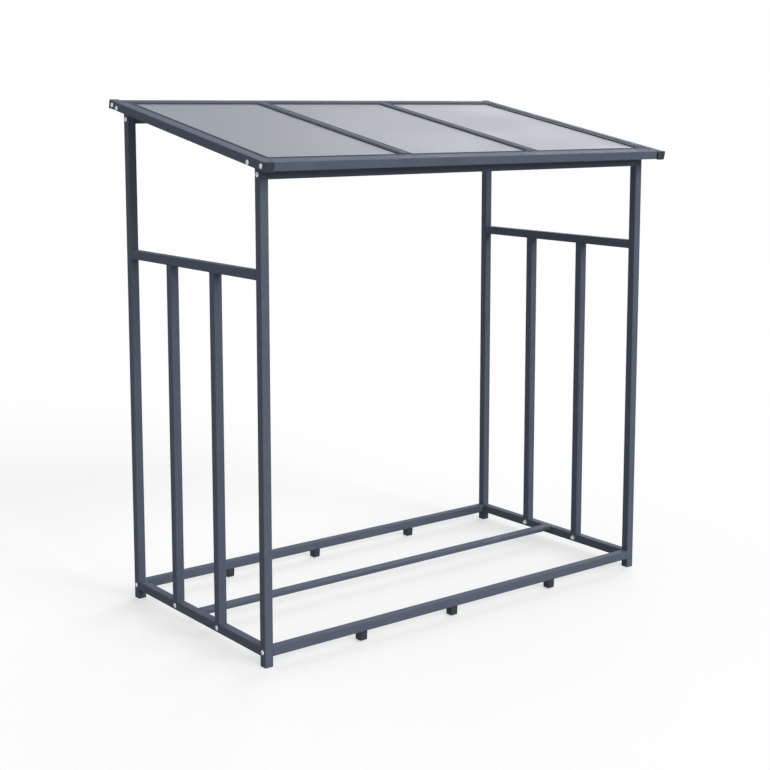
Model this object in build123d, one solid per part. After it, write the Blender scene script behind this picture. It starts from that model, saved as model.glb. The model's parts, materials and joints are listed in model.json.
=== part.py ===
from build123d import *
from math import cos, radians, sin, tan
import os

# Log store: an open frame of square steel tube with a lean-to roof of three panels.
# X runs along the front, Y to the back and Z up. The origin is on the ground, under
# the middle of the roof. All sizes are in millimetres and all angles in degrees.

# Overall sizes
ROOF_WIDTH = 1430
ROOF_DEPTH = 800
HEIGHT = 1450
BASE_DEPTH = 700
ROOF_PITCH = 10.9
ROOF_FRONT_OVERHANG = 67

# Square tube of the frame
TUBE = 25
TUBE_WALL = 1.2
TUBE_RADIUS = 2.5

# Side frames, floor and top beams
RAIL_CLEARANCE = 27
UPPER_RAIL_TOP = 1026
POST_ABOVE_UPPER_RAIL = 4
BARS_PER_SIDE = 2
MIDDLE_BAR_WIDTH = 34
MIDDLE_BAR_HEIGHT = 12
MIDDLE_BAR_SETBACK = 10
BEAM_BELOW_RAFTER = 10

# Socket joint between the lower and the upper section of a post
SPIGOT_LENGTH = 60
SPIGOT_CLEARANCE = 0.3
SEAM_CHAMFER = 0.5

# Foot caps of the posts
CAP_PLATE = 3
CAP_CHAMFER = 0.8
CAP_PLUG = 16
CAP_PLUG_WALL = 2
PLUG_CLEARANCE = 0.2

# Support feet under the front and rear rails, and their places along X
FOOT_ABOVE_GROUND = 3
FOOT_FLOOR = 3
FOOT_WALL = 2.5
FOOT_DRAFT = 2
FOOT_CHAMFER = 2
FOOT_PLACES = (-369, -48, 333)

# Roof profiles: a hollow chamber with a channel of sheet lips that holds the panels
ROOF_HEIGHT = 24
RAFTER_WIDTH = 28
ROOF_RAIL_WIDTH = 25
GLAZING_WIDTH = 20
SIDE_LIP = 22
FRONT_LIP = 34
REAR_LIP = 16
GLAZING_LIP = 10
REST_LIP = 8
LIP_SHEET = 1.2
LIP_STEP = 2
LIP_RIM = 2.2
POST_TOP_GAP = 0.3

# Roof panels
PANEL_COUNT = 3
PANEL_THICKNESS = 4
PANEL_EDGE_GAP = 2
PANEL_TOP_GAP = 0.3

# End caps of the rafters. Their heads stand out past the profiles on all sides.
END_CAP_PLATE = 5
END_CAP_RIM = 1
END_CAP_CHAMFER = 1.5
END_CAP_PLUG = 14

# Blocks stand on the middle of their undersides, or hang from their tops
ON_BASE = (Align.CENTER, Align.CENTER, Align.MIN)
UNDER_TOP = (Align.CENTER, Align.CENTER, Align.MAX)

# Places in the base
rafter_outer_x = ROOF_WIDTH / 2 - END_CAP_RIM
post_outer_x = rafter_outer_x - RAFTER_WIDTH
post_inner_x = post_outer_x - TUBE
post_x = post_outer_x - TUBE / 2
base_front = ROOF_FRONT_OVERHANG - ROOF_DEPTH / 2
base_back = base_front + BASE_DEPTH
post_y = {"front": base_front + TUBE / 2, "rear": base_back - TUBE / 2}
base_middle = (base_front + base_back) / 2
side_x = {"left": -post_x, "right": post_x}
rail_z = RAIL_CLEARANCE + TUBE / 2
rail_top = RAIL_CLEARANCE + TUBE
upper_rail_z = UPPER_RAIL_TOP - TUBE / 2
lower_post_top = UPPER_RAIL_TOP + POST_ABOVE_UPPER_RAIL
tube_bore = TUBE - 2 * TUBE_WALL

# The roof in its own frame: Y runs up the slope from the front end caps, Z is square
# to the slope, and Z = 0 is the underside of the profiles. The end caps' heads reach
# the overall sizes, less what their chamfers take off.
pitch_sin = sin(radians(ROOF_PITCH))
pitch_cos = cos(radians(ROOF_PITCH))
pitch_tan = tan(radians(ROOF_PITCH))
head_top = ROOF_HEIGHT + END_CAP_RIM
chamfer_loss = END_CAP_CHAMFER * pitch_sin
level_depth = ROOF_DEPTH + 2 * chamfer_loss - (head_top + END_CAP_RIM) * pitch_sin
roof_length = level_depth / pitch_cos
roof_front_y = head_top * pitch_sin - chamfer_loss - ROOF_DEPTH / 2
roof_front_z = HEIGHT + chamfer_loss - roof_length * pitch_sin - head_top * pitch_cos
roof_frame = Location((0, roof_front_y, roof_front_z), (ROOF_PITCH, 0, 0))
rails_front = END_CAP_PLATE + ROOF_RAIL_WIDTH
rails_back = roof_length - rails_front
field_front = rails_front + FRONT_LIP
field_back = rails_back - REAR_LIP
lip_top = ROOF_HEIGHT - LIP_STEP
rim_foot = lip_top - LIP_RIM
panel_underside = rim_foot - PANEL_TOP_GAP - PANEL_THICKNESS
rest_underside = panel_underside - LIP_SHEET


def rafter_underside(y):
    """Height of the rafters' underside over the ground at the given Y."""
    return roof_front_z + (y - roof_front_y) * pitch_tan


def tube_section(width=TUBE, height=TUBE):
    """Tube with rounded outer corners, centred on the origin of its sketch."""
    outer = RectangleRounded(width, height, TUBE_RADIUS)
    return outer - Rectangle(width - 2 * TUBE_WALL, height - 2 * TUBE_WALL)


def tube(start, end, width=TUBE, height=TUBE):
    """Straight tube from start to end. A level tube has its height along Z."""
    run = Vector(*end) - Vector(*start)
    across = Vector(1, 0, 0) if run.Z else run.cross(Vector(0, 0, 1))
    plane = Plane(origin=start, x_dir=across, z_dir=run)
    return extrude(plane * tube_section(width, height), amount=run.length)


def outer_edges(body, axis, place):
    """Outline of the body's first (0) or last (-1) end face along the axis."""
    return body.faces().filter_by(axis).sort_by(axis)[place].outer_wire().edges()


def lower_post(x, y):
    """Post of the side frame, from its foot cap to just above the upper rail."""
    body = tube((x, y, CAP_PLATE), (x, y, lower_post_top))
    return chamfer(outer_edges(body, Axis.Z, -1), SEAM_CHAMFER)


def upper_post(x, y):
    """Roof post with a narrowed spigot in the lower post and a top cut to the slope."""
    spigot_width = tube_bore - 2 * SPIGOT_CLEARANCE
    spigot_bore = spigot_width - 2 * TUBE_WALL
    seam = Pos(x, y, lower_post_top)
    body = tube((x, y, lower_post_top), (x, y, HEIGHT))
    shoulder = RectangleRounded(TUBE, TUBE, TUBE_RADIUS) - Rectangle(spigot_bore, spigot_bore)
    body += extrude(seam * shoulder, amount=TUBE_WALL)
    body = chamfer(outer_edges(body, Axis.Z, 0), SEAM_CHAMFER)
    body += extrude(seam * tube_section(spigot_width, spigot_width), amount=-SPIGOT_LENGTH)
    above_cut = roof_frame * Pos(0, roof_length / 2, rest_underside - POST_TOP_GAP)
    return body - above_cut * Box(ROOF_WIDTH, 2 * ROOF_DEPTH, HEIGHT, align=ON_BASE)


def foot_cap(x, y):
    """Moulded cap: a plate on the ground and a hollow plug up in the post."""
    plate = extrude(Pos(x, y) * RectangleRounded(TUBE, TUBE, TUBE_RADIUS), amount=CAP_PLATE)
    plate = chamfer(plate.edges().group_by(Axis.Z)[0], CAP_CHAMFER)
    return plate + Pos(x, y, CAP_PLATE) * plug(CAP_PLUG, tube_bore, tube_bore)


def plug(length, width, height):
    """Hollow plug along +Z that pushes into a tube's bore of the given size."""
    outer = Rectangle(width - 2 * PLUG_CLEARANCE, height - 2 * PLUG_CLEARANCE)
    inner = offset(outer, -CAP_PLUG_WALL, kind=Kind.INTERSECTION)
    return extrude(outer - inner, amount=length)


def drafted_block(width, height):
    """Square block that hangs from Z = 0 with cut corners and narrows downwards."""
    block = Box(width, width, height, align=UNDER_TOP)
    block = chamfer(block.edges().filter_by(Axis.Z), FOOT_CHAMFER)
    sides = block.faces() - block.faces().filter_by(Axis.Z)
    return draft(sides, Plane.XY, -FOOT_DRAFT)


def support_foot(x, y):
    """Moulded cup that tapers down from the rail, open on top."""
    height = RAIL_CLEARANCE - FOOT_ABOVE_GROUND
    mouth = drafted_block(TUBE - 2 * FOOT_WALL, height - FOOT_FLOOR)
    return Pos(x, y, RAIL_CLEARANCE) * (drafted_block(TUBE, height) - mouth)


def lips(edge, lip):
    """Panel channel beside a chamber that ends at X = edge, open towards +X.

    A rest lip carries the panel. The upper lip lies a step under the profile's top
    and covers the panel's edge, and its rim is turned down to the panel.
    """
    root = edge - TUBE_WALL
    rim = edge + lip
    outline = make_face(
        Polyline(
            (root, lip_top),
            (rim, lip_top),
            (rim, rim_foot),
            (rim - LIP_SHEET, rim_foot),
            (rim - LIP_SHEET, lip_top - LIP_SHEET),
            (root, lip_top - LIP_SHEET),
            close=True,
        )
    )
    outline = fillet(outline.vertices().sort_by(Axis.X)[-2:].sort_by(Axis.Y)[-1:], LIP_SHEET / 2)
    rest = Pos((root + edge + REST_LIP) / 2, panel_underside - LIP_SHEET / 2) * Rectangle(
        edge + REST_LIP - root, LIP_SHEET
    )
    return outline + rest


def chamber(width):
    """Hollow chamber of a roof profile, from X = 0 to width and Z = 0 to its height."""
    return Pos(width / 2, ROOF_HEIGHT / 2) * tube_section(width, ROOF_HEIGHT)


def up_slope(section, start, end):
    """Extrudes a section in X and Z along the roof's own Y."""
    return extrude(Plane.XZ.offset(-start) * section, amount=start - end)


def rafter():
    """Left rafter: its chamber runs to the end caps, its lips between the rails' lips."""
    place = Pos(-rafter_outer_x, 0)
    body = up_slope(place * chamber(RAFTER_WIDTH), END_CAP_PLATE, roof_length - END_CAP_PLATE)
    return body + up_slope(place * lips(RAFTER_WIDTH, SIDE_LIP), field_front, field_back)


def roof_rail(lip):
    """Rail between the rafters, flush with the ends of their tubes, its lips towards +Y."""
    section = Pos(END_CAP_PLATE, 0) * (chamber(ROOF_RAIL_WIDTH) + lips(ROOF_RAIL_WIDTH, lip))
    return extrude(Plane.YZ.offset(-post_outer_x) * section, amount=2 * post_outer_x)


def glazing_bar():
    """Bar up the slope with lips on both sides. Its ends are coped under the rails' lips."""
    place = Pos(-GLAZING_WIDTH / 2, 0)
    half = place * lips(GLAZING_WIDTH, GLAZING_LIP)
    above_rests = Pos(0, rest_underside + ROOF_HEIGHT / 2) * Rectangle(
        GLAZING_WIDTH + GLAZING_LIP, ROOF_HEIGHT
    )
    body = up_slope(place * chamber(GLAZING_WIDTH), rails_front, rails_back)
    for start, end in ((0, field_front), (field_back, roof_length)):
        body -= up_slope(above_rests, start, end)
    return body + up_slope(half + mirror(half, Plane.YZ), field_front, field_back)


def roof_panel(low_x, high_x):
    """Flat sheet that lies on the rest lips."""
    low_y = rails_front + PANEL_EDGE_GAP
    high_y = rails_back - PANEL_EDGE_GAP
    sheet = Box(high_x - low_x, high_y - low_y, PANEL_THICKNESS, align=ON_BASE)
    return Pos((low_x + high_x) / 2, (low_y + high_y) / 2, panel_underside) * sheet


def end_cap():
    """Cap on the front end of the left rafter, with its chamfered head on Y = 0."""
    middle_x = RAFTER_WIDTH / 2 - rafter_outer_x
    outline = Pos(middle_x, ROOF_HEIGHT / 2) * RectangleRounded(
        RAFTER_WIDTH + 2 * END_CAP_RIM, ROOF_HEIGHT + 2 * END_CAP_RIM, TUBE_RADIUS + END_CAP_RIM
    )
    head = up_slope(outline, 0, END_CAP_PLATE)
    head = chamfer(outer_edges(head, Axis.Y, 0), END_CAP_CHAMFER)
    inward = Plane(origin=(middle_x, END_CAP_PLATE, ROOF_HEIGHT / 2), x_dir=(1, 0, 0), z_dir=(0, 1, 0))
    bore = (RAFTER_WIDTH - 2 * TUBE_WALL, ROOF_HEIGHT - 2 * TUBE_WALL)
    return head + inward.location * plug(END_CAP_PLUG, *bore)


parts = {}

# Posts with their foot caps
for end, y in post_y.items():
    for side, x in side_x.items():
        parts[f"lower_post_{end}_{side}"] = lower_post(x, y)
        parts[f"upper_post_{end}_{side}"] = upper_post(x, y)
        parts[f"foot_cap_{end}_{side}"] = foot_cap(x, y)

# Side frames: a bottom and an upper rail with bars at equal spaces between them
rail_front = base_front + TUBE
rail_back = base_back - TUBE
bar_space = (rail_back - rail_front - BARS_PER_SIDE * TUBE) / (BARS_PER_SIDE + 1)
for side, x in side_x.items():
    parts[f"side_bottom_rail_{side}"] = tube((x, rail_front, rail_z), (x, rail_back, rail_z))
    parts[f"side_upper_rail_{side}"] = tube(
        (x, rail_front, upper_rail_z), (x, rail_back, upper_rail_z)
    )
    for number in range(BARS_PER_SIDE):
        y = rail_front + (number + 1) * (bar_space + TUBE) - TUBE / 2
        parts[f"side_bar_{side}_{number + 1}"] = tube(
            (x, y, rail_top), (x, y, UPPER_RAIL_TOP - TUBE)
        )

# Floor rails, top beams and support feet
for end, y in post_y.items():
    parts[f"{end}_bottom_rail"] = tube((-post_inner_x, y, rail_z), (post_inner_x, y, rail_z))
    beam_z = rafter_underside(y) - BEAM_BELOW_RAFTER - TUBE / 2
    parts[f"{end}_top_beam"] = tube((-post_inner_x, y, beam_z), (post_inner_x, y, beam_z))
    for number, x in enumerate(FOOT_PLACES):
        parts[f"support_foot_{end}_{number + 1}"] = support_foot(x, y)
middle_bar_y = base_middle + MIDDLE_BAR_SETBACK
middle_bar_z = rail_top - MIDDLE_BAR_HEIGHT / 2
parts["middle_floor_bar"] = tube(
    (-post_inner_x, middle_bar_y, middle_bar_z),
    (post_inner_x, middle_bar_y, middle_bar_z),
    MIDDLE_BAR_WIDTH,
    MIDDLE_BAR_HEIGHT,
)

# Roof frame
to_rear = Plane.XZ.offset(-roof_length / 2)
parts["rafter_left"] = roof_frame * rafter()
parts["rafter_right"] = roof_frame * mirror(rafter(), Plane.YZ)
parts["front_roof_rail"] = roof_frame * roof_rail(FRONT_LIP)
parts["rear_roof_rail"] = roof_frame * Pos(0, roof_length) * mirror(roof_rail(REAR_LIP), Plane.XZ)
for end in ("front", "rear"):
    cap = end_cap() if end == "front" else mirror(end_cap(), to_rear)
    parts[f"end_cap_{end}_left"] = roof_frame * cap
    parts[f"end_cap_{end}_right"] = roof_frame * mirror(cap, Plane.YZ)

# Glazing bars and panels at equal spaces between the rafters
bay = 2 * post_outer_x / PANEL_COUNT
for number in range(PANEL_COUNT):
    low_x = -post_outer_x + number * bay
    high_x = low_x + bay
    if number:
        parts[f"glazing_bar_{number}"] = roof_frame * Pos(low_x, 0) * glazing_bar()
        low_x += GLAZING_WIDTH / 2
    if number < PANEL_COUNT - 1:
        high_x -= GLAZING_WIDTH / 2
    parts[f"roof_panel_{number + 1}"] = roof_frame * roof_panel(
        low_x + PANEL_EDGE_GAP, high_x - PANEL_EDGE_GAP
    )

os.makedirs("parts", exist_ok=True)
for name, part in parts.items():
    export_step(part, f"parts/{name}.step")
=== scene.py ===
# %% [markdown]
# # An open log store in powder-coated steel tube
# The real thing is a flat-pack garden shelter: two welded side frames, a few rails
# bolted between them, and a lean-to roof with three opal sheets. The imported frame
# already holds every tube, cap and sheet at its real size. This lesson gives them
# their finishes, adds the small fixings, and sets a camera and soft lamps.

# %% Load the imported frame
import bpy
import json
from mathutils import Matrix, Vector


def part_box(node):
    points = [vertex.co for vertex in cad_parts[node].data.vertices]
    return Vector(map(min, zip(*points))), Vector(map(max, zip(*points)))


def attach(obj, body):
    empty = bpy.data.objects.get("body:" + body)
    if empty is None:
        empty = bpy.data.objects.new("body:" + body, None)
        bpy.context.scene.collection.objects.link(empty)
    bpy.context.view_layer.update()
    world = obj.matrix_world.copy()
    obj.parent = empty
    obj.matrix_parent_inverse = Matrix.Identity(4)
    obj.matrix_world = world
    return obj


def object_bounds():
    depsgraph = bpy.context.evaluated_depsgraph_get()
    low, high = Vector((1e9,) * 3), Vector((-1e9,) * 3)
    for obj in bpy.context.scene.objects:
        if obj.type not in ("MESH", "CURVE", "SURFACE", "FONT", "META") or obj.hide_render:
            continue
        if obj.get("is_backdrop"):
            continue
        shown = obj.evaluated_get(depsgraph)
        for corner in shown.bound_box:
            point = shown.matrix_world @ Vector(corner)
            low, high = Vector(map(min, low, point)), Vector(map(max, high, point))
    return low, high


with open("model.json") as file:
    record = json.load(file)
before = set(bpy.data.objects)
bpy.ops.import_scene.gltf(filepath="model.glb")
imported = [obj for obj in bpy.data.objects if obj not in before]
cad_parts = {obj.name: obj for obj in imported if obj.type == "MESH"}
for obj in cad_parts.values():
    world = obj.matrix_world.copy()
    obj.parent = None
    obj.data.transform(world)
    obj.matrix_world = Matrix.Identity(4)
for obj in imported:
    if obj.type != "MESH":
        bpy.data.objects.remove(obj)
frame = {"nodes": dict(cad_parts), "record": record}
cad_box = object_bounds()
print("CAD box in metres:", [[round(value, 4) for value in corner] for corner in cad_box])

# %% Libraries and units
import json
from math import degrees, radians

import bmesh
import bpy
from mathutils import Matrix, Vector

MM = 0.001
nodes = frame["nodes"]
print(len(nodes), "CAD nodes")

# %% [markdown]
# ## The camera
# A product photographer stands a few metres off with a longish lens, so the posts stay
# nearly upright. A Track To constraint could aim the camera. Plain angles are easier to
# read here: the heading turns from the front view towards the right, and the tilt looks
# down. A little vertical shift, as on a view camera, sets how much the posts lean.

# %% Camera
CAMERA_PLACE = (-2.632, -3.339, 1.432)
CAMERA_HEADING = radians(37.83)
CAMERA_TILT = radians(7.63)
CAMERA_LENS = 67.9
CAMERA_SHIFT = -0.11

lens = bpy.data.cameras.new("studio_camera")
lens.lens = CAMERA_LENS
lens.shift_y = CAMERA_SHIFT
camera = bpy.data.objects.new("studio_camera", lens)
camera.location = CAMERA_PLACE
camera.rotation_euler = (radians(90) - CAMERA_TILT, 0, -CAMERA_HEADING)
bpy.context.scene.collection.objects.link(camera)
bpy.context.scene.camera = camera
print("Camera", round(Vector(CAMERA_PLACE).length, 2), "m from the origin")

# %% [markdown]
# ## Helpers for materials
# A shader socket wants linear colour, but a colour picker gives sRGB, so one function
# turns a hex value into the linear one. Another adds a node, sets its options and fills
# its sockets with values or with links. Each material below then reads as a list of
# what it is made of. Patterns are sized in millimetres, as one would measure them.

# %% Colours, nodes and pattern sizes
def linear(hex_colour):
    """sRGB hex digits as the linear RGBA that a socket takes."""
    shares = [int(hex_colour[place:place + 2], 16) / 255 for place in (0, 2, 4)]
    curve = [s / 12.92 if s <= 0.04045 else ((s + 0.055) / 1.055) ** 2.4 for s in shares]
    return (*curve, 1.0)


def add_node(tree, kind, settings=(), inputs=()):
    """Adds a node. Settings are its options, inputs are values or other nodes' outputs."""
    node = tree.nodes.new(kind)
    for option, value in dict(settings).items():
        setattr(node, option, value)
    for socket, value in dict(inputs).items():
        if isinstance(value, bpy.types.NodeSocket):
            tree.links.new(value, node.inputs[socket])
        else:
            node.inputs[socket].default_value = value
    return node


def new_material(name):
    """An empty node material, with the Object coordinates that its patterns read."""
    material = bpy.data.materials.new(name)
    material.use_nodes = True
    tree = material.node_tree
    tree.nodes.clear()
    place = add_node(tree, "ShaderNodeTexCoord").outputs["Object"]
    return material, tree, place


def per_metre(millimetres):
    """Noise scale whose patches are about that wide."""
    return 1 / (millimetres * MM)


# The Mix node has sockets for numbers, vectors and colours. These are the colour ones.
COLOUR_A, COLOUR_B, COLOUR_OUT = 6, 7, 2
print("Mid grey in linear light:", round(linear("808080")[0], 3))

# %% [markdown]
# ## Powder coat
# The tubes are dusted with polyester powder and baked. The coat is a plastic skin about
# 0.1 mm thick with a faint orange peel, satin rather than glossy. It pulls back from
# sharp edges as it melts, so those look a little lighter. One noise gives a slow drift
# of colour and gloss, a finer one the peel, which also mottles the colour, and the
# finest the grain of the powder. A Bevel node finds the edges: where its rounded normal
# leaves the true one, an edge is near.

# %% Powder coat: patterns
COAT_COLOUR = "5f6776"
COAT_DEEP = "4f5766"
COAT_EDGE = "77808d"
COAT_DRIFT_MM = 110
PEEL_MM = 4           # real peel is 1 to 2 mm across, drawn coarser so that it shows
PEEL_DEPTH_MM = 0.15
GRAIN_MM = 1.2        # real powder is far finer, drawn coarser so that it shows
GRAIN_DEPTH_MM = 0.05
THIN_EDGE_MM = 1.5    # how far the thin coat reaches from an edge
SATIN_SHINE = 0.05    # low, or the white room veils the tops in a flat view

powder_coat, tree, place = new_material("polyester_powder_coat")
drift = add_node(tree, "ShaderNodeTexNoise", {}, {
    "Vector": place, "Scale": per_metre(COAT_DRIFT_MM), "Detail": 3.0}).outputs["Fac"]
peel = add_node(tree, "ShaderNodeTexNoise", {}, {
    "Vector": place, "Scale": per_metre(PEEL_MM), "Detail": 1.0}).outputs["Fac"]
grain = add_node(tree, "ShaderNodeTexNoise", {}, {
    "Vector": place, "Scale": per_metre(GRAIN_MM), "Detail": 0.0}).outputs["Fac"]
mottle = add_node(tree, "ShaderNodeMath", {"operation": "ADD"}, {
    0: drift, 1: peel}).outputs["Value"]
tint = add_node(tree, "ShaderNodeMapRange", {}, {
    "Value": mottle, "From Min": 0.4, "From Max": 1.6, "To Min": 0.0, "To Max": 1.0})
rounded = add_node(tree, "ShaderNodeBevel", {"samples": 4}, {"Radius": THIN_EDGE_MM * MM})
true_normal = add_node(tree, "ShaderNodeNewGeometry").outputs["Normal"]
likeness = add_node(tree, "ShaderNodeVectorMath", {"operation": "DOT_PRODUCT"}, {
    0: rounded.outputs["Normal"], 1: true_normal}).outputs["Value"]
near_edge = add_node(tree, "ShaderNodeMapRange", {}, {
    "Value": likeness, "From Min": 0.98, "From Max": 0.75, "To Min": 0.0, "To Max": 0.6})
print("Powder coat patterns:", len(tree.nodes), "nodes")

# %% Powder coat: shader
thin = add_node(tree, "ShaderNodeMath", {"operation": "MULTIPLY"}, {
    0: near_edge.outputs["Result"], 1: drift}).outputs["Value"]
coat_body = add_node(tree, "ShaderNodeMix", {"data_type": "RGBA"}, {
    "Factor": tint.outputs["Result"],
    COLOUR_A: linear(COAT_DEEP), COLOUR_B: linear(COAT_COLOUR)})
coat_colour = add_node(tree, "ShaderNodeMix", {"data_type": "RGBA"}, {
    "Factor": thin, COLOUR_A: coat_body.outputs[COLOUR_OUT], COLOUR_B: linear(COAT_EDGE)})
gloss = add_node(tree, "ShaderNodeMapRange", {}, {
    "Value": drift, "From Min": 0.3, "From Max": 0.7, "To Min": 0.6, "To Max": 0.74})
waves = add_node(tree, "ShaderNodeBump", {}, {
    "Height": peel, "Strength": 0.5, "Distance": PEEL_DEPTH_MM * MM})
dust = add_node(tree, "ShaderNodeBump", {}, {
    "Height": grain, "Normal": waves.outputs["Normal"],
    "Strength": 0.4, "Distance": GRAIN_DEPTH_MM * MM})
skin = add_node(tree, "ShaderNodeBsdfPrincipled", {}, {
    "Base Color": coat_colour.outputs[COLOUR_OUT],
    "Roughness": gloss.outputs["Result"],
    "Specular IOR Level": SATIN_SHINE,
    "Normal": dust.outputs["Normal"]})
add_node(tree, "ShaderNodeOutputMaterial", {}, {"Surface": skin.outputs["BSDF"]})
print("Powder coat:", len(tree.nodes), "nodes")

# %% [markdown]
# ## Moulded caps
# Foot caps, support feet and end caps are polypropylene, moulded in a mould with a fine
# spark-eroded grain. The plastic is coloured right through and scatters light softly.
# Scuffs make it paler here and there. A fine noise is enough for the grain, and a
# slower one drives the scuffs.

# %% Moulded polypropylene
CAP_COLOUR = "2a2f3a"
CAP_SCUFF = "3a404d"
SCUFF_MM = 14
SPARK_GRAIN_MM = 0.8   # real spark grain is about 0.1 mm, drawn coarser so that it shows
SPARK_DEPTH_MM = 0.05
MOULDED_SHINE = 0.3

moulded_cap, tree, place = new_material("moulded_polypropylene")
scuffs = add_node(tree, "ShaderNodeTexNoise", {}, {
    "Vector": place, "Scale": per_metre(SCUFF_MM), "Detail": 4.0, "Roughness": 0.6}).outputs["Fac"]
spark_grain = add_node(tree, "ShaderNodeTexNoise", {}, {
    "Vector": place, "Scale": per_metre(SPARK_GRAIN_MM), "Detail": 1.0}).outputs["Fac"]
scuffed = add_node(tree, "ShaderNodeMapRange", {}, {
    "Value": scuffs, "From Min": 0.45, "From Max": 0.75, "To Min": 0.0, "To Max": 0.6})
cap_colour = add_node(tree, "ShaderNodeMix", {"data_type": "RGBA"}, {
    "Factor": scuffed.outputs["Result"],
    COLOUR_A: linear(CAP_COLOUR), COLOUR_B: linear(CAP_SCUFF)})
cap_gloss = add_node(tree, "ShaderNodeMapRange", {}, {
    "Value": scuffs, "From Min": 0.3, "From Max": 0.7, "To Min": 0.5, "To Max": 0.65})
cap_bump = add_node(tree, "ShaderNodeBump", {}, {
    "Height": spark_grain, "Strength": 0.3, "Distance": SPARK_DEPTH_MM * MM})
plastic = add_node(tree, "ShaderNodeBsdfPrincipled", {}, {
    "Base Color": cap_colour.outputs[COLOUR_OUT],
    "Roughness": cap_gloss.outputs["Result"],
    "Specular IOR Level": MOULDED_SHINE,
    "Normal": cap_bump.outputs["Normal"]})
add_node(tree, "ShaderNodeOutputMaterial", {}, {"Surface": plastic.outputs["BSDF"]})
print("Moulded caps:", len(tree.nodes), "nodes")

# %% [markdown]
# ## Opal roof sheet
# The roof sheets are extruded polycarbonate with a milky filler. They let some light
# through, so their undersides glow, and their skin is smooth with a faint cloudiness.
# Real transmission would need many samples. A Principled shader for the skin, mixed
# with a Translucent one for the light that comes through, looks the same and is quick.

# %% Opal polycarbonate
OPAL_COLOUR = "9a9ea8"
OPAL_CLOUD = "90959e"
OPAL_INSIDE = "c6cad0"     # the milky body that the light comes through
CLOUD_MM = 160
DIE_LINE_MM = 9            # faint lines up the slope from the extruder's lip
DIE_LINE_DEPTH_MM = 0.05
DIE_LINE_STRETCH = 50      # how many times longer than wide the lines are
PASSES_THROUGH = 0.3       # share of the light
POLYCARBONATE_IOR = 1.585
OPAL_SHINE = 0.3

opal_sheet, tree, place = new_material("opal_polycarbonate")
clouds = add_node(tree, "ShaderNodeTexNoise", {}, {
    "Vector": place, "Scale": per_metre(CLOUD_MM), "Detail": 3.0}).outputs["Fac"]
drawn_out = add_node(tree, "ShaderNodeMapping", {}, {
    "Vector": place, "Scale": (1.0, 1 / DIE_LINE_STRETCH, 1 / DIE_LINE_STRETCH)}).outputs["Vector"]
die_lines = add_node(tree, "ShaderNodeTexNoise", {}, {
    "Vector": drawn_out, "Scale": per_metre(DIE_LINE_MM), "Detail": 2.0}).outputs["Fac"]
opal = add_node(tree, "ShaderNodeMix", {"data_type": "RGBA"}, {
    "Factor": clouds, COLOUR_A: linear(OPAL_CLOUD), COLOUR_B: linear(OPAL_COLOUR)})
opal_gloss = add_node(tree, "ShaderNodeMapRange", {}, {
    "Value": clouds, "From Min": 0.3, "From Max": 0.7, "To Min": 0.5, "To Max": 0.58})
sheet_bump = add_node(tree, "ShaderNodeBump", {}, {
    "Height": die_lines, "Strength": 0.15, "Distance": DIE_LINE_DEPTH_MM * MM})
sheet_skin = add_node(tree, "ShaderNodeBsdfPrincipled", {}, {
    "Base Color": opal.outputs[COLOUR_OUT],
    "Roughness": opal_gloss.outputs["Result"],
    "IOR": POLYCARBONATE_IOR,
    "Specular IOR Level": OPAL_SHINE,
    "Normal": sheet_bump.outputs["Normal"]})
glow = add_node(tree, "ShaderNodeBsdfTranslucent", {}, {"Color": linear(OPAL_INSIDE)})
both = add_node(tree, "ShaderNodeMixShader", {}, {
    "Fac": PASSES_THROUGH, 1: sheet_skin.outputs["BSDF"], 2: glow.outputs["BSDF"]})
add_node(tree, "ShaderNodeOutputMaterial", {}, {"Surface": both.outputs["Shader"]})
print("Opal sheet:", len(tree.nodes), "nodes")

# %% [markdown]
# ## Zinc plate and rubber
# Bolts and nuts are steel with a thin bright zinc plate, a metal with small cloudy
# patches where the bath left it duller. The trims round the sheets are EPDM rubber,
# dark grey and quite dull, with a light bloom on the surface.

# %% Zinc-plated steel
ZINC_COLOUR = "e3e6ea"
ZINC_DULL = "c4c8cd"
ZINC_PATCH_MM = 3
ZINC_DEPTH_MM = 0.05

zinc_plate, tree, place = new_material("zinc_plated_steel")
bath = add_node(tree, "ShaderNodeTexNoise", {}, {
    "Vector": place, "Scale": per_metre(ZINC_PATCH_MM), "Detail": 3.0}).outputs["Fac"]
zinc = add_node(tree, "ShaderNodeMix", {"data_type": "RGBA"}, {
    "Factor": bath, COLOUR_A: linear(ZINC_DULL), COLOUR_B: linear(ZINC_COLOUR)})
zinc_gloss = add_node(tree, "ShaderNodeMapRange", {}, {
    "Value": bath, "From Min": 0.3, "From Max": 0.7, "To Min": 0.24, "To Max": 0.4})
zinc_bump = add_node(tree, "ShaderNodeBump", {}, {
    "Height": bath, "Strength": 0.1, "Distance": ZINC_DEPTH_MM * MM})
metal = add_node(tree, "ShaderNodeBsdfPrincipled", {}, {
    "Base Color": zinc.outputs[COLOUR_OUT],
    "Metallic": 1.0,
    "Roughness": zinc_gloss.outputs["Result"],
    "Normal": zinc_bump.outputs["Normal"]})
add_node(tree, "ShaderNodeOutputMaterial", {}, {"Surface": metal.outputs["BSDF"]})
print("Zinc plate:", len(tree.nodes), "nodes")

# %% EPDM rubber
RUBBER_COLOUR = "3c424b"
RUBBER_BLOOM = "4b525c"
BLOOM_MM = 6
BLOOM_DEPTH_MM = 0.1

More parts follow.
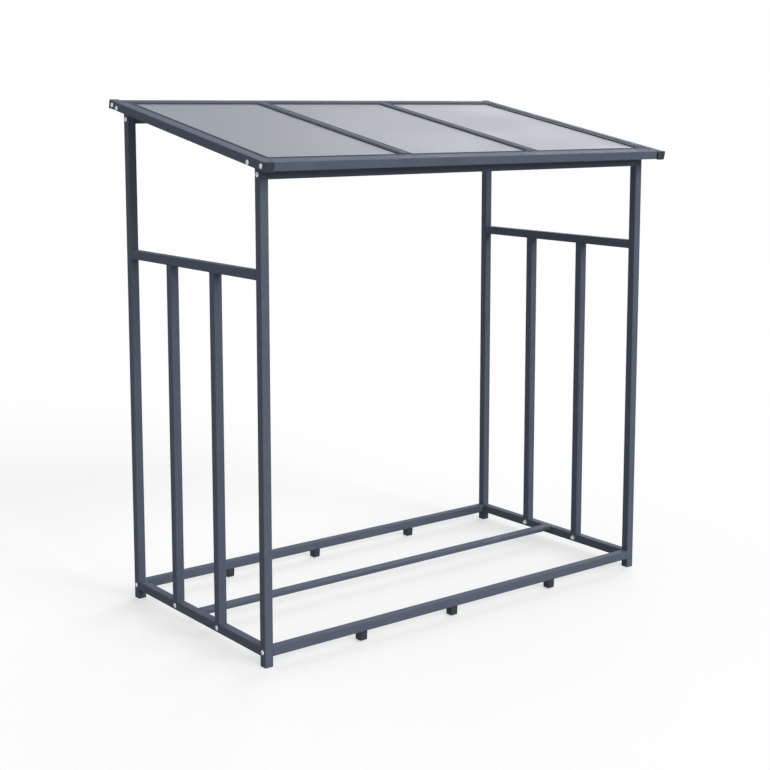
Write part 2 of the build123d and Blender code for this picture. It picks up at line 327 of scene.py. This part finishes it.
seal_rubber, tree, place = new_material("epdm_rubber")
bloom = add_node(tree, "ShaderNodeTexNoise", {}, {
    "Vector": place, "Scale": per_metre(BLOOM_MM), "Detail": 4.0}).outputs["Fac"]
rubber_colour = add_node(tree, "ShaderNodeMix", {"data_type": "RGBA"}, {
    "Factor": bloom, COLOUR_A: linear(RUBBER_COLOUR), COLOUR_B: linear(RUBBER_BLOOM)})
rubber_gloss = add_node(tree, "ShaderNodeMapRange", {}, {
    "Value": bloom, "From Min": 0.3, "From Max": 0.7, "To Min": 0.7, "To Max": 0.85})
rubber_bump = add_node(tree, "ShaderNodeBump", {}, {
    "Height": bloom, "Strength": 0.15, "Distance": BLOOM_DEPTH_MM * MM})
rubber = add_node(tree, "ShaderNodeBsdfPrincipled", {}, {
    "Base Color": rubber_colour.outputs[COLOUR_OUT],
    "Roughness": rubber_gloss.outputs["Result"],
    "Specular IOR Level": SATIN_SHINE,
    "Normal": rubber_bump.outputs["Normal"]})
add_node(tree, "ShaderNodeOutputMaterial", {}, {"Surface": rubber.outputs["BSDF"]})
print("Rubber:", len(tree.nodes), "nodes")

# %% [markdown]
# ## Dressing the frame
# The CAD tubes, caps and sheets have the right shape already, so they stay and only
# change their material. The record says which finish each node has, and a dictionary
# from its slot names to the materials above dresses all of them in one loop.

# %% Finishes of the CAD nodes
FINISHES = {
    "coated_steel": powder_coat,
    "moulded_caps": moulded_cap,
    "roof_sheet": opal_sheet,
    "zinc_plated": zinc_plate,
    "rubber_seal": seal_rubber,
}
for part in frame["record"]["subparts"]:
    for slot in nodes[part["node"]].material_slots:
        slot.material = FINISHES[part["material_slot"]]

# %% [markdown]
# ## The roof's own axes
# Fixings on the roof follow its slope. The slope could be typed in again, but a number
# that is copied can go stale. The largest faces of a roof sheet look straight up out of
# the roof, so their normal gives the slope, and with it every roof piece can be
# measured along the width, up the slope and square to it.

# %% Measure the roof
sheet_faces = sorted(nodes["roof_panel_2"].data.polygons, key=lambda face: face.area)
roof_up = next(face.normal.copy() for face in reversed(sheet_faces) if face.normal.z > 0)
along_width = Vector((1, 0, 0))
up_slope = roof_up.cross(along_width)
roof_axes = Matrix((along_width, up_slope, roof_up)).transposed().to_4x4()


def roof_box(node):
    """Lowest and highest corner of a node, measured along the roof's own axes."""
    turned_back = roof_axes.inverted()
    places = [turned_back @ vertex.co for vertex in nodes[node].data.vertices]
    low = Vector([min(place[axis] for place in places) for axis in range(3)])
    high = Vector([max(place[axis] for place in places) for axis in range(3)])
    return low, high


print("Roof pitch in degrees:", round(degrees(up_slope.angle(Vector((0, 1, 0)))), 2))

# %% [markdown]
# ## From a bmesh to a piece
# Every fixing is made once in a bmesh and then placed many times. Copies could be
# separate objects, but one joined mesh for each kind and side is easier to handle and
# exports as one piece. A finished piece is shaded smooth up to a chosen angle, rides
# on the frame and takes the finish that the record's slot stands for.

# %% Helpers for pieces
SHARP_ANGLE = radians(35)


def add_piece(name, shape, slot):
    """Turns a bmesh into a piece of the store with the finish of its slot."""
    mesh = bpy.data.meshes.new(name)
    shape.to_mesh(mesh)
    shape.free()
    mesh.shade_smooth()
    mesh.set_sharp_from_angle(angle=SHARP_ANGLE)
    mesh.materials.append(FINISHES[slot])
    piece = bpy.data.objects.new(name, mesh)
    bpy.context.scene.collection.objects.link(piece)
    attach(piece, "root")
    print(name, "has", len(mesh.polygons), "faces")


def copies(pattern, places):
    """One bmesh with a copy of the pattern mesh at each place matrix."""
    joined = bmesh.new()
    for place in places:
        earlier = len(joined.verts)
        joined.from_mesh(pattern)
        joined.verts.ensure_lookup_table()
        bmesh.ops.transform(joined, matrix=place, verts=joined.verts[earlier:])
    return joined


def pattern_mesh(name, shape):
    """Closes up a bmesh, turns its faces outwards and keeps it as a mesh to copy."""
    bmesh.ops.remove_doubles(shape, verts=shape.verts, dist=0.001 * MM)
    bmesh.ops.recalc_face_normals(shape, faces=shape.faces)
    mesh = bpy.data.meshes.new(name)
    shape.to_mesh(mesh)
    shape.free()
    return mesh


def turned(profile, steps):
    """Shape turned round Z from (radius, height) points in millimetres."""
    shape = bmesh.new()
    points = [shape.verts.new((radius * MM, 0, height * MM)) for radius, height in profile]
    for low, high in zip(points, points[1:]):
        shape.edges.new((low, high))
    bmesh.ops.spin(
        shape, geom=shape.verts[:] + shape.edges[:], cent=(0, 0, 0), axis=(0, 0, 1),
        angle=radians(360), steps=steps, use_merge=True)
    bmesh.ops.remove_doubles(shape, verts=shape.verts, dist=0.001 * MM)
    return shape


print("Edges sharper than", round(SHARP_ANGLE, 2), "rad stay crisp")

# %% [markdown]
# ## Bolts
# The rails and the roof are held with M6 flanged button heads, 13 mm across and
# 3 mm proud. A turned profile gives the flange and the dome. The hexagon socket isn't
# round, so it is a second loop with six sides: bridge_loops joins it to the dome's rim,
# and extruding it downwards makes its walls.

# %% One button-head bolt
# Radius and height in mm: the seat, the flange's edge, the dome and the socket's rim
HEAD_PROFILE = (
    (0, -0.1), (6.3, -0.1), (6.5, 0.6), (6.0, 0.9), (5.3, 1.0), (5.2, 1.7), (4.6, 2.5), (3.2, 3.0))
HEAD_STEPS = 24
SOCKET_RADIUS = 2.3
SOCKET_DEPTH = 1.4


def edges_of(verts):
    """Edges that join two of the given vertices."""
    chosen = set(verts)
    return [edge for vert in verts for edge in vert.link_edges
            if edge.verts[0] == vert and edge.verts[1] in chosen]


def bolt_head():
    """Flanged button head along +Z, with its seat just under Z = 0."""
    shape = turned(HEAD_PROFILE, HEAD_STEPS)
    rim = [edge for edge in shape.edges if edge.is_boundary]
    top = Matrix.Translation((0, 0, HEAD_PROFILE[-1][1] * MM))
    corners = bmesh.ops.create_circle(
        shape, segments=6, radius=SOCKET_RADIUS * MM, matrix=top)["verts"]
    hexagon = edges_of(corners)
    bmesh.ops.bridge_loops(shape, edges=rim + hexagon)
    walls = bmesh.ops.extrude_edge_only(shape, edges=hexagon)["geom"]
    floor_corners = [item for item in walls if isinstance(item, bmesh.types.BMVert)]
    bmesh.ops.translate(shape, verts=floor_corners, vec=(0, 0, -SOCKET_DEPTH * MM))
    bmesh.ops.contextual_create(shape, geom=floor_corners)
    return pattern_mesh("bolt_pattern", shape)


bolt_pattern = bolt_head()
print("One bolt head has", len(bolt_pattern.polygons), "faces")

# %% [markdown]
# ## Where the bolts go
# On each side, two bolts hold the floor rails, two the top beams and two the bars'
# feet. Four more go through the rafter: two into the ends of the roof rails, and two
# into the tops of the posts. Their places are read from the nodes that they hold, so
# they follow if the frame changes.

# %% Places of the bolts
RAIL_BOLT_INSET = 12.5 * MM   # from the rafter's tube end to the roof rail's middle
POST_BOLT_RISE = 8 * MM       # over the rafter's underside
ENDS = ("front", "rear")
SIDE_BARS = (1, 2)


def middle(node):
    """Centre of a node's box."""
    low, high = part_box(node)
    return (low + high) / 2


def outwards(side):
    """Turns +Z to the outside of the left or right side."""
    return Matrix.Rotation(radians(-90 if side == "left" else 90), 4, "Y")


def outer_face(node, side):
    """X of a node's outside face."""
    low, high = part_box(node)
    return low.x if side == "left" else high.x


def base_bolts(side):
    """Points on the posts and on the bottom side rail."""
    points = []
    for end in ENDS:
        post = f"lower_post_{end}_{side}"
        for held in (f"{end}_bottom_rail", f"{end}_top_beam"):
            points.append((outer_face(post, side), middle(post).y, middle(held).z))
    rail = f"side_bottom_rail_{side}"
    for number in SIDE_BARS:
        bar = f"side_bar_{side}_{number}"
        points.append((outer_face(rail, side), middle(bar).y, middle(rail).z))
    return points


def rail_end_bolts(side):
    """Points on the rafter's outside face, over the ends of the roof rails."""
    low, high = roof_box(f"rafter_{side}")
    x = outer_face(f"rafter_{side}", side)
    half_height = (low.z + high.z) / 2
    return [roof_axes @ Vector((x, y, half_height))
            for y in (low.y + RAIL_BOLT_INSET, high.y - RAIL_BOLT_INSET)]


def post_top_bolts(side):
    """Points on the rafter's outside face, over the tops of the posts."""
    x = outer_face(f"rafter_{side}", side)
    rise = roof_box(f"rafter_{side}")[0].z + POST_BOLT_RISE
    points = []
    for end in ENDS:
        level_y = middle(f"upper_post_{end}_{side}").y
        along = (level_y - rise * roof_up.y) / up_slope.y
        points.append(roof_axes @ Vector((x, along, rise)))
    return points


for side in ("left", "right"):
    points = base_bolts(side) + rail_end_bolts(side) + post_top_bolts(side)
    places = [Matrix.Translation(point) @ outwards(side) for point in points]
    add_piece(f"bolts_{side}", copies(bolt_pattern, places), "zinc_plated")

# %% [markdown]
# ## Flange nuts
# Where a bolt goes right through a post or a rail, a nut shows on the inside. It is a
# turned flange with a hexagon on it, and the bolt's end looks out of it. The hexagon is
# a six-sided cone from bmesh, its upper corners are bevelled, and the bolt's end is a
# small turned shape of its own.

# %% One flange nut with the bolt's end
FLANGE_PROFILE = ((0, -0.1), (6.8, -0.1), (6.8, 0.9), (5.4, 1.5), (0, 1.5))
BOLT_END_PROFILE = ((0, 5.0), (2.9, 5.0), (2.9, 7.4), (2.4, 7.9), (0, 7.9))
NUT_RADIUS = 5.77     # corners of a 10 mm hexagon
NUT_HEIGHT = 6.0
NUT_CHAMFER = 0.5


def nut():
    """Flange nut along +Z, with its seat just under Z = 0."""
    shape = turned(FLANGE_PROFILE, HEAD_STEPS)
    level = Matrix.Translation((0, 0, NUT_HEIGHT / 2 * MM))
    hexagon = bmesh.ops.create_cone(
        shape, cap_ends=True, segments=6, radius1=NUT_RADIUS * MM, radius2=NUT_RADIUS * MM,
        depth=NUT_HEIGHT * MM, matrix=level)["verts"]
    upper = [vert for vert in hexagon if vert.co.z > NUT_HEIGHT / 2 * MM]
    bmesh.ops.bevel(
        shape, geom=edges_of(upper), offset=NUT_CHAMFER * MM, affect="EDGES", segments=1,
        profile=0.5, material=-1)
    shaft = turned(BOLT_END_PROFILE, HEAD_STEPS)
    shaft_mesh = pattern_mesh("bolt_end", shaft)
    shape.from_mesh(shaft_mesh)
    return pattern_mesh("nut_pattern", shape)


nut_pattern = nut()
print("One nut has", len(nut_pattern.polygons), "faces")

# %% Places of the nuts
def inner_face(node, side):
    """X of a node's inside face."""
    low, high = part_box(node)
    return high.x if side == "left" else low.x


# A nut looks inwards, which is outwards for the other side
for side, other in (("left", "right"), ("right", "left")):
    rail = f"side_bottom_rail_{side}"
    points = [(inner_face(rail, side), middle(f"side_bar_{side}_{number}").y, middle(rail).z)
              for number in SIDE_BARS]
    points += [(inner_face(f"upper_post_{end}_{side}", side), bolt.y, bolt.z)
               for end, bolt in zip(ENDS, post_top_bolts(side))]
    places = [Matrix.Translation(point) @ outwards(other) for point in points]
    add_piece(f"nuts_{side}", copies(nut_pattern, places), "zinc_plated")

# %% [markdown]
# ## Weld beads
# The side frames are welded, and the coat covers the beads. A bead is a row of frozen
# ripples a couple of millimetres apart. It is drawn as a ring that is extruded step by
# step while its size goes up and down, and its last ring is closed. Beads lie in the
# corners above and below each joint, half sunk into both tubes.

# %% One weld bead
BEAD_RADIUS = 2.0
BEAD_LENGTH = 20.0
BEAD_RIPPLES = 9
BEAD_SIDES = 10
RIPPLE_NARROW = 0.82
BAR_BEAD_SHARE = 0.9      # of the floor bar's width


def weld_bead():
    """Rippled bead along X, centred on the origin."""
    shape = bmesh.new()
    left_end = Matrix.Translation((-BEAD_LENGTH / 2 * MM, 0, 0))
    start = left_end @ Matrix.Rotation(radians(90), 4, "Y")
    ring = bmesh.ops.create_circle(
        shape, segments=BEAD_SIDES, radius=BEAD_RADIUS * RIPPLE_NARROW * MM, matrix=start)["verts"]
    bmesh.ops.contextual_create(shape, geom=ring)
    step = BEAD_LENGTH / (2 * BEAD_RIPPLES) * MM
    for number in range(2 * BEAD_RIPPLES):
        growth = RIPPLE_NARROW if number % 2 else 1 / RIPPLE_NARROW
        drawn = bmesh.ops.extrude_edge_only(shape, edges=edges_of(ring))["geom"]
        ring = [item for item in drawn if isinstance(item, bmesh.types.BMVert)]
        bmesh.ops.translate(shape, verts=ring, vec=(step, 0, 0))
        bmesh.ops.scale(shape, verts=ring, vec=(1, growth, growth))
    bmesh.ops.contextual_create(shape, geom=ring)
    return pattern_mesh("bead_pattern", shape)


bead_pattern = weld_bead()
print("One bead has", len(bead_pattern.polygons), "faces")

# %% Places of the beads
def side_frame_beads(side):
    """Points at the corners of the bars and of the two side rails."""
    upper_low, upper_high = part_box(f"side_upper_rail_{side}")
    bottom_low, bottom_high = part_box(f"side_bottom_rail_{side}")
    x = middle(f"side_upper_rail_{side}").x
    points = []
    for number in SIDE_BARS:
        bar_low, bar_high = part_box(f"side_bar_{side}_{number}")
        for y in (bar_low.y, bar_high.y):
            points += [(x, y, upper_low.z), (x, y, bottom_high.z)]
    for y in (upper_low.y, upper_high.y):
        points += [(x, y, z) for z in (upper_low.z, upper_high.z, bottom_low.z, bottom_high.z)]
    return points


def floor_bar_bead(side):
    """Place under the end of the middle floor bar, across its width."""
    low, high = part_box("middle_floor_bar")
    x = low.x if side == "left" else high.x
    wider = (high.y - low.y) / (BEAD_LENGTH * MM) * BAR_BEAD_SHARE
    across = Matrix.Rotation(radians(90), 4, "Z")
    stretched = Matrix.Diagonal((wider, 1, 1, 1))
    return Matrix.Translation((x, middle("middle_floor_bar").y, low.z)) @ across @ stretched


for side in ("left", "right"):
    places = [Matrix.Translation(point) for point in side_frame_beads(side)]
    places.append(floor_bar_bead(side))
    add_piece(f"weld_beads_{side}", copies(bead_pattern, places), "coated_steel")

# %% [markdown]
# ## Trims round the roof sheets
# A rubber trim is pressed over the rim of each channel, so that no steel rubs on the
# sheet. From a distance it is the darker band round each sheet. A flat frame is made
# with two steps of inset_region: the outer band lies on the lip, and the narrow inner
# one is drawn down to the sheet. Its upper edges are bevelled round. It is made flat
# and then turned with the roof's own axes.

# %% Trims
TRIM_ON_LIP = 9 * MM
TRIM_THICKNESS = 0.8 * MM
TRIM_ROUNDING = 0.4 * MM
STEP_ON_CHAMBER = 2 * MM     # the lips lie that far under the tops of the profiles
CORNER_ANGLE = radians(45)   # rims turn by more than this, flats by less


def frame_bands(shape, low, high):
    """Two flat bands inside the rectangle between two corners, the outer and the inner."""
    size = high - low
    flat = Matrix.Translation((low + high) / 2) @ Matrix.Diagonal((size.x, size.y, 1, 1))
    bmesh.ops.create_grid(shape, x_segments=1, y_segments=1, size=0.5, matrix=flat)
    bands = []
    for thickness in (TRIM_ON_LIP, TRIM_THICKNESS):
        field = [face for face in shape.faces if face not in sum(bands, [])]
        bands.append(bmesh.ops.inset_region(
            shape, faces=field, thickness=thickness, use_boundary=True,
            use_even_offset=True)["faces"])
    hole = [face for face in shape.faces if face not in sum(bands, [])]
    bmesh.ops.delete(shape, geom=hole, context="FACES")
    return bands


def trim(low, high, sheet_top):
    """Rubber frame on the lips between two corners, given along the roof's axes."""
    shape = bmesh.new()
    outer, inner = frame_bands(shape, low, high)
    raised = bmesh.ops.extrude_face_region(shape, geom=outer + inner)["geom"]
    upper = [item for item in raised if isinstance(item, bmesh.types.BMVert)]
    bmesh.ops.translate(shape, verts=upper, vec=(0, 0, TRIM_THICKNESS))
    opening = [vert for face in inner for vert in face.verts]
    opening = [vert for vert in set(opening) if not any(face in outer for face in vert.link_faces)]
    bmesh.ops.translate(shape, verts=opening, vec=(0, 0, sheet_top - low.z))
    rims = [edge for edge in edges_of(upper) if edge.calc_face_angle(0) > CORNER_ANGLE]
    bmesh.ops.bevel(
        shape, geom=rims, offset=TRIM_ROUNDING, affect="EDGES", segments=3,
        profile=0.5, material=-1)
    return shape


front_edge = roof_box("front_roof_rail")[1].y - TRIM_ON_LIP
rear_edge = roof_box("rear_roof_rail")[0].y + TRIM_ON_LIP
lip_top = roof_box("rafter_left")[1].z - STEP_ON_CHAMBER
sheet_top = roof_box("roof_panel_1")[1].z
bars = ("rafter_left", "glazing_bar_1", "glazing_bar_2", "rafter_right")
for number, (bar, next_bar) in enumerate(zip(bars, bars[1:]), start=1):
    low = Vector((roof_box(bar)[1].x - TRIM_ON_LIP, front_edge, lip_top))
    high = Vector((roof_box(next_bar)[0].x + TRIM_ON_LIP, rear_edge, lip_top))
    frame_pattern = pattern_mesh(f"trim_pattern_{number}", trim(low, high, sheet_top))
    add_piece(f"roof_trim_{number}", copies(frame_pattern, [roof_axes]), "rubber_seal")

# %% [markdown]
# ## Floor and world
# The store stands on a plain white sweep. The floor is a large sheet just under the
# feet, and it keeps the store's shadow. For the camera, and in reflections, floor and
# world are white. For all other rays they are greyer, because a white room would light
# the steel from every side and wash its colour out. Half of the tone that is seen is
# plain white that no shadow darkens, so the shadow stays as light as on a lit
# photographic sweep.

# %% Floor
FLOOR_SIZE = 60       # metres
FLOOR_DEPTH = 0.2 * MM
FLOOR_SEEN = 0.99
FLOOR_BOUNCE = 0.35
FLOOR_VEIL = 0.5      # share of plain white that keeps the shadow light

backdrop, tree, place = new_material("matt_white_sweep")


def grey(level):
    """Linear RGBA of a neutral grey, where 1 is white."""
    return (level, level, level, 1)


def seen_directly(tree):
    """1 for camera, glossy and transmission rays, 0 for the light between surfaces."""
    path = add_node(tree, "ShaderNodeLightPath").outputs
    either = add_node(tree, "ShaderNodeMath", {"operation": "MAXIMUM"}, {
        0: path["Is Camera Ray"], 1: path["Is Glossy Ray"]}).outputs["Value"]
    return add_node(tree, "ShaderNodeMath", {"operation": "MAXIMUM"}, {
        0: either, 1: path["Is Transmission Ray"]}).outputs["Value"]


seen = seen_directly(tree)
tone = add_node(tree, "ShaderNodeMix", {"data_type": "RGBA"}, {
    "Factor": seen, COLOUR_A: grey(FLOOR_BOUNCE), COLOUR_B: grey(FLOOR_SEEN)}).outputs[COLOUR_OUT]
paper = add_node(tree, "ShaderNodeBsdfDiffuse", {}, {"Color": tone})
white = add_node(tree, "ShaderNodeEmission", {}, {"Color": grey(1), "Strength": 1.0})
veil = add_node(tree, "ShaderNodeMath", {"operation": "MULTIPLY"}, {0: seen, 1: FLOOR_VEIL})
sweep = add_node(tree, "ShaderNodeMixShader", {}, {
    "Fac": veil.outputs["Value"], 1: paper.outputs["BSDF"], 2: white.outputs["Emission"]})
add_node(tree, "ShaderNodeOutputMaterial", {}, {"Surface": sweep.outputs["Shader"]})

shape = bmesh.new()
under_feet = Matrix.Translation((0, 0, -FLOOR_DEPTH))
bmesh.ops.create_grid(
    shape, x_segments=1, y_segments=1, size=FLOOR_SIZE / 2, matrix=under_feet)
floor_mesh = bpy.data.meshes.new("floor")
shape.to_mesh(floor_mesh)
shape.free()
floor_mesh.materials.append(backdrop)
floor = bpy.data.objects.new("floor", floor_mesh)
bpy.context.scene.collection.objects.link(floor)
floor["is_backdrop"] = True
print("Floor", FLOOR_SIZE, "m wide")

# %% World
WORLD_LIGHT = 0.54

world = bpy.data.worlds.new("white_studio")
world.use_nodes = True
world.node_tree.nodes.clear()
tree = world.node_tree
room = add_node(tree, "ShaderNodeBackground", {}, {"Color": grey(1), "Strength": WORLD_LIGHT})
white = add_node(tree, "ShaderNodeBackground", {}, {"Color": grey(1), "Strength": 1.0})
either = add_node(tree, "ShaderNodeMixShader", {}, {
    "Fac": seen_directly(tree), 1: room.outputs["Background"], 2: white.outputs["Background"]})
add_node(tree, "ShaderNodeOutputWorld", {}, {"Surface": either.outputs["Shader"]})
bpy.context.scene.world = world
bpy.context.scene.view_settings.view_transform = "Standard"
print("World light", WORLD_LIGHT)

# %% [markdown]
# ## Lamps
# The white room already lights every face a little. Two wide lamps add the rest: one in
# front, rather low, so that the fronts of the tubes stand out from their sides, and one
# low behind on the right, which keeps the back from going flat when the store is turned
# round. Sun lamps are handy for this, because only their direction and their width
# matter. A wide sun gives the soft edges of a big fabric box.

# %% Lamps
LAMPS = (
    # name, direction to the lamp, strength, width in degrees
    ("lamp_front", (0.2, -1.0, 0.55), 2.05, 40),
    ("lamp_behind", (0.9, 0.55, 0.3), 2.0, 40),
)
for name, towards, strength, width in LAMPS:
    lamp = bpy.data.lights.new(name, "SUN")
    lamp.energy = strength
    lamp.angle = radians(width)
    lamp_object = bpy.data.objects.new(name, lamp)
    lamp_object.rotation_euler = Vector(towards).to_track_quat("Z", "Y").to_euler()
    bpy.context.scene.collection.objects.link(lamp_object)
    print(name, strength)

# %% [markdown]
# The visual model is measured too. Both boxes are kept as plain numbers, and how far
# the visual box reaches past the CAD box is printed in millimetres.

# %% Compare both boxes and finish
visual_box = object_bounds()
grown = [round((visual_box[1][axis] - cad_box[1][axis]) / MM, 2) for axis in range(3)]
print("Visual box over the CAD box, mm:", grown)
